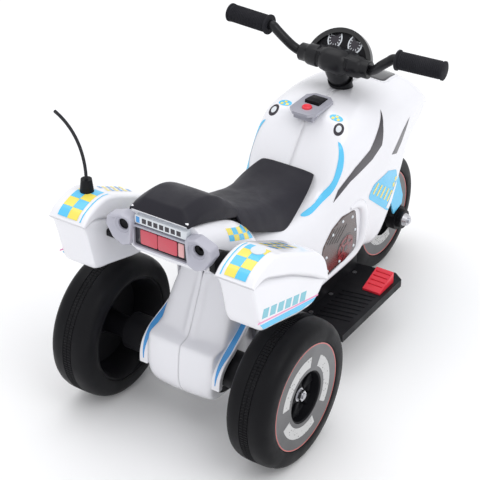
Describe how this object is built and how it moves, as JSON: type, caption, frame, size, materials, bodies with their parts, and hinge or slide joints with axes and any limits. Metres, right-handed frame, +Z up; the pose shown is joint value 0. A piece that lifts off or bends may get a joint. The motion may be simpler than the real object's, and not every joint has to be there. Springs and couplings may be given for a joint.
{
  "type": "ride-on trike",
  "caption": "Child's battery ride-on trike: moulded shell, steered front wheel, driven rear wheels, saddle, lidded panniers, footrests and pedal.",
  "frame": {"origin": "middle of the footprint, on the ground", "axes": "+X forward, +Y to the rider's left, +Z up"},
  "size_m": [0.779, 0.404, 0.5488],
  "materials": {
    "white_shell": "glossy white moulded polypropylene",
    "black_seat": "satin charcoal moulded plastic with a fine grain",
    "black_plastic": "satin black moulded plastic",
    "gloss_black": "polished black plastic",
    "engine_print": "dark printed label on moulded plastic",
    "dial_print": "printed instrument label",
    "silver_plastic": "silver-grey moulded plastic",
    "clear_lens": "clear moulded lens",
    "red_lens": "printed red tail lamp",
    "plate_print": "pale printed plate",
    "red_plastic": "bright red moulded plastic",
    "blue_plastic": "light blue moulded plastic",
    "grip_rubber": "satin black rubber",
    "whip_rubber": "black flexible rod",
    "bar_steel": "black painted steel tube",
    "bright_steel": "zinc plated steel",
    "gear_nylon": "natural nylon",
    "battery_case": "moulded battery case",
    "wheel_tyre": "blow-moulded black plastic tyre",
    "wheel_hub": "black moulded plastic",
    "wheel_print": "grey printed disc with a red line"
  },
  "bodies": {
    "chassis": {"body_left": "white_shell", "body_right": "white_shell", "tail_cover": "white_shell", "rear_left": "white_shell", "rear_right": "white_shell", "seat": "black_seat", "pillion_pad": "black_seat", "engine_panels": "engine_print", "headlight_bezel": "silver_plastic", "headlight_lens": "clear_lens", "nose_screen": "gloss_black", "switch_panel": "silver_plastic", "steering_bush": "black_plastic", "lamp_bezels": "silver_plastic", "lamp_bowls": "silver_plastic", "tail_lens_frame": "black_plastic", "tail_lens": "red_lens", "plate": "plate_print", "racks": "black_plastic", "pannier_left": "white_shell", "pannier_right": "white_shell", "lid_pins": "bright_steel", "footrest_left": "black_plastic", "footrest_right": "black_plastic", "footrest_screws": "bright_steel", "pedal_pin": "bright_steel", "battery": "battery_case", "charge_socket": "black_plastic", "gearbox": "black_plastic", "axle_sleeve": "black_plastic", "motor": "bright_steel", "rear_axle": "bright_steel", "rear_nuts": "bright_steel"},
    "steering": {"front_axle": "bright_steel", "fork": "black_plastic", "fork_covers": "blue_plastic", "clamp_housing": "black_plastic", "handlebar": "bar_steel", "grips": "grip_rubber", "instruments": "gloss_black", "dial_face": "dial_print"},
    "front_wheel": {"front_tyre": "wheel_tyre", "front_hub": "wheel_hub", "front_trims": "wheel_print"},
    "rear_wheel_left": {"rear_tyre_left": "wheel_tyre", "rear_hub_left": "wheel_hub", "rear_trim_left": "wheel_print"},
    "rear_wheel_right": {"rear_tyre_right": "wheel_tyre", "rear_hub_right": "wheel_hub", "rear_trim_right": "wheel_print", "drive_gear": "gear_nylon"},
    "motor_shaft": {"pinion": "gear_nylon"},
    "pedal_body": {"pedal": "red_plastic"},
    "rocker_body": {"direction_rocker": "gloss_black"},
    "button_body": {"power_button": "red_plastic"},
    "lid_left_body": {"lid_left": "white_shell", "antenna_base": "black_plastic", "antenna_whip": "whip_rubber"},
    "lid_right_body": {"lid_right": "white_shell", "lid_plug": "white_shell"}
  },
  "joints": [
    {"name": "steer", "type": "hinge", "parent": "chassis", "child": "steering", "pos_m": [0.2795, 0, 0.11], "axis": [-0.3746, 0, 0.9272], "range_deg": [-25, 25]},
    {"name": "front_wheel_spin", "type": "hinge", "parent": "steering", "child": "front_wheel", "pos_m": [0.2795, 0, 0.11], "axis": [0, 1, 0], "continuous": true},
    {"name": "rear_left_spin", "type": "hinge", "parent": "chassis", "child": "rear_wheel_left", "pos_m": [-0.2695, 0.164, 0.12], "axis": [0, 1, 0], "continuous": true},
    {"name": "rear_right_spin", "type": "hinge", "parent": "chassis", "child": "rear_wheel_right", "pos_m": [-0.2695, -0.164, 0.12], "axis": [0, 1, 0], "continuous": true},
    {"name": "motor_spin", "type": "hinge", "parent": "chassis", "child": "motor_shaft", "pos_m": [-0.2455, -0.044, 0.16157], "axis": [0, 1, 0], "continuous": true},
    {"name": "pedal_press", "type": "hinge", "parent": "chassis", "child": "pedal_body", "pos_m": [0.0765, -0.12, 0.0855], "axis": [0, 1, 0], "range_deg": [0, 6], "stiffness_Nm_per_rad": 2, "springref_deg": -2.86},
    {"name": "rocker_tip", "type": "hinge", "parent": "chassis", "child": "rocker_body", "pos_m": [0.0775, 0, 0.411], "axis": [0, 1, 0], "range_deg": [-6, 6]},
    {"name": "button_press", "type": "slide", "parent": "chassis", "child": "button_body", "axis": [0, 0, -1], "range_m": [0, 0.002], "stiffness_N_per_m": 800, "springref_m": -0.001},
    {"name": "lid_left_hinge", "type": "hinge", "parent": "chassis", "child": "lid_left_body", "pos_m": [-0.1715, 0.148, 0.272], "axis": [0, 1, 0], "range_deg": [0, 60]},
    {"name": "lid_right_hinge", "type": "hinge", "parent": "chassis", "child": "lid_right_body", "pos_m": [-0.1715, -0.148, 0.272], "axis": [0, 1, 0], "range_deg": [0, 60]}
  ],
  "couplings": [
    {"joint": "motor_spin", "follows": "rear_right_spin", "ratio": -3}
  ]
}
